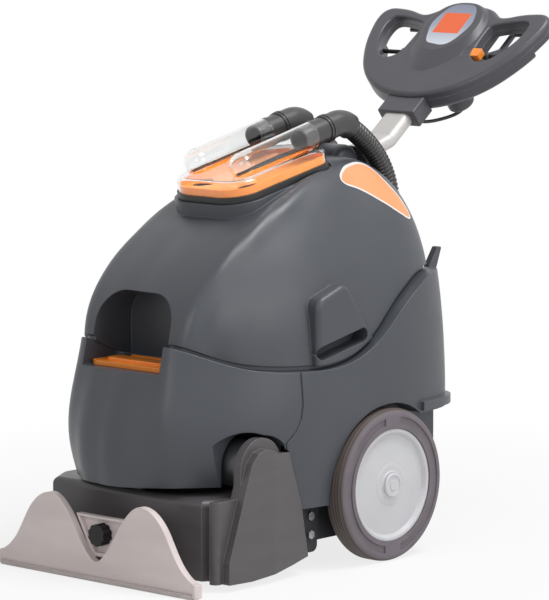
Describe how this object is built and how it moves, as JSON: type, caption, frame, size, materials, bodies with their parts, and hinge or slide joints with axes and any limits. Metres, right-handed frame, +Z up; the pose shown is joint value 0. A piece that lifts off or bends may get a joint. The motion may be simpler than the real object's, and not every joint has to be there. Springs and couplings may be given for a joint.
{
  "type": "carpet extractor",
  "caption": "Walk-behind carpet extractor: domed tank with clear twin-tube lid, brush deck, twin-hump vacuum shoe, large rear wheels and a tilting loop handle.",
  "frame": {"origin": "centre of the overall box at floor level", "axes": "+Z up, -Y towards the vacuum shoe, +Y towards the handle, +X to the belt cover's side"},
  "size_m": [0.5106, 1.0069, 0.9306],
  "materials": {
    "body_grey": "fine satin moulded grain",
    "deck_grey": "satin moulded grain",
    "shoe_grey": "smooth satin",
    "strip_grey": "worn satin",
    "tyre_rubber": "matt",
    "hub_plastic": "satin, slightly translucent",
    "cap_plastic": "satin",
    "orange": "smooth",
    "clear": "clear, polished",
    "black_rubber": "matt",
    "black_plastic": "satin",
    "head_grey": "satin moulded grain",
    "panel": "smooth, metallic tint",
    "column_metal": "bead blasted",
    "steel": "turned",
    "galvanised": "zinc plated",
    "chassis_paint": "powder coat",
    "motor_metal": "cast",
    "brush_plastic": "satin",
    "bristle": "nylon"
  },
  "bodies": {
    "machine": {"solution_tank": "body_grey", "rear_housing": "body_grey", "recovery_tank": "body_grey", "brush_deck": "deck_grey", "belt_cover": "deck_grey", "bearing_cover": "deck_grey", "axle_caps": "hub_plastic", "hose_left": "black_rubber", "hose_right": "black_rubber", "drive_belt": "black_rubber", "hose_ports": "black_plastic", "axle": "steel", "wheel_spacers": "steel", "fill_cap_pin": "steel", "shoe_pin": "steel", "pivot_pin": "steel", "brush_bearings": "steel", "bracket_bolts": "galvanised", "cover_screws": "galvanised", "chassis_frame": "chassis_paint", "deck_brackets": "chassis_paint", "handle_post": "chassis_paint", "pivot_tongue": "chassis_paint", "brush_motor": "motor_metal", "vacuum_motor": "motor_metal", "solution_pump": "motor_metal", "spray_bar": "brush_plastic"},
    "wheel_left": {"tyre_left": "tyre_rubber", "hub_left": "hub_plastic"},
    "wheel_right": {"tyre_right": "tyre_rubber", "hub_right": "hub_plastic"},
    "cap": {"fill_cap": "orange"},
    "lid": {"lid_gasket": "black_rubber", "lid_dome": "clear", "lid_tray": "orange", "lid_cuffs": "black_rubber", "hose_elbow_left": "black_rubber", "hose_elbow_right": "black_rubber"},
    "brush": {"brush_core": "brush_plastic", "brush_bristles": "bristle", "brush_pulley": "brush_plastic"},
    "motor_rotor": {"motor_shaft": "steel", "motor_pulley": "brush_plastic"},
    "shoe": {"vacuum_shoe": "shoe_grey", "shoe_strip": "strip_grey", "shoe_yoke": "shoe_grey"},
    "knob": {"shoe_knob": "black_plastic"},
    "handle": {"column_lower": "column_metal", "column_upper": "column_metal", "column_clamp": "cap_plastic", "head_upper": "head_grey", "head_lower": "head_grey", "head_panel": "panel", "lever_shafts": "black_plastic", "gland_box": "cap_plastic", "control_cable": "black_rubber"},
    "lever_left": {"switch_lever_left": "head_grey"},
    "lever_right": {"switch_lever_right": "head_grey"},
    "button": {"lock_button": "orange"},
    "hook": {"cord_hook": "cap_plastic"}
  },
  "joints": [
    {"name": "wheel_left_spin", "type": "hinge", "parent": "machine", "child": "wheel_left", "pos_m": [-0.232, -0.026, 0.132], "axis": [1, 0, 0], "continuous": true},
    {"name": "wheel_right_spin", "type": "hinge", "parent": "machine", "child": "wheel_right", "pos_m": [0.232, -0.026, 0.132], "axis": [1, 0, 0], "continuous": true},
    {"name": "fill_cap_hinge", "type": "hinge", "parent": "machine", "child": "cap", "pos_m": [0, -0.35, 0.3573], "axis": [-1, 0, 0], "range_deg": [0, 75]},
    {"name": "lid_lift", "type": "slide", "parent": "machine", "child": "lid", "axis": [0, -0.2215, 0.9751], "range_m": [0, 0.06], "deforming": ["hose_left", "hose_right"]},
    {"name": "brush_spin", "type": "hinge", "parent": "machine", "child": "brush", "pos_m": [0, -0.308, 0.062], "axis": [1, 0, 0], "continuous": true},
    {"name": "motor_spin", "type": "hinge", "parent": "machine", "child": "motor_rotor", "pos_m": [0.2, -0.308, 0.195], "axis": [1, 0, 0], "continuous": true},
    {"name": "shoe_float", "type": "hinge", "parent": "machine", "child": "shoe", "pos_m": [0, -0.444, 0.062], "axis": [1, 0, 0], "range_deg": [0, 6]},
    {"name": "shoe_knob_turn", "type": "hinge", "parent": "shoe", "child": "knob", "pos_m": [0, -0.48, 0.078], "axis": [0, -1, 0], "range_deg": [0, 720]},
    {"name": "handle_tilt", "type": "hinge", "parent": "machine", "child": "handle", "pos_m": [0, 0.185, 0.678], "axis": [1, 0, 0], "range_deg": [-40, 60]},
    {"name": "lever_left_squeeze", "type": "hinge", "parent": "handle", "child": "lever_left", "pos_m": [-0.097, 0.41543, 0.83889], "axis": [1, 0, 0], "range_deg": [0, 5.5], "stiffness_Nm_per_rad": 1.2, "springref_deg": -3.44},
    {"name": "lever_right_squeeze", "type": "hinge", "parent": "handle", "child": "lever_right", "pos_m": [0.097, 0.41543, 0.83889], "axis": [1, 0, 0], "range_deg": [0, 5.5], "stiffness_Nm_per_rad": 1.2, "springref_deg": -3.44},
    {"name": "lock_button_press", "type": "slide", "parent": "handle", "child": "button", "axis": [-1, 0, 0], "range_m": [0, 0.005], "stiffness_N_per_m": 300, "springref_m": -0.003},
    {"name": "cord_hook_swivel", "type": "hinge", "parent": "machine", "child": "hook", "pos_m": [0.15, 0.19, 0.47], "axis": [0, 1, 0], "range_deg": [0, 180]}
  ],
  "couplings": [
    {"joint": "motor_spin", "follows": "brush_spin", "ratio": 1.8889}
  ]
}
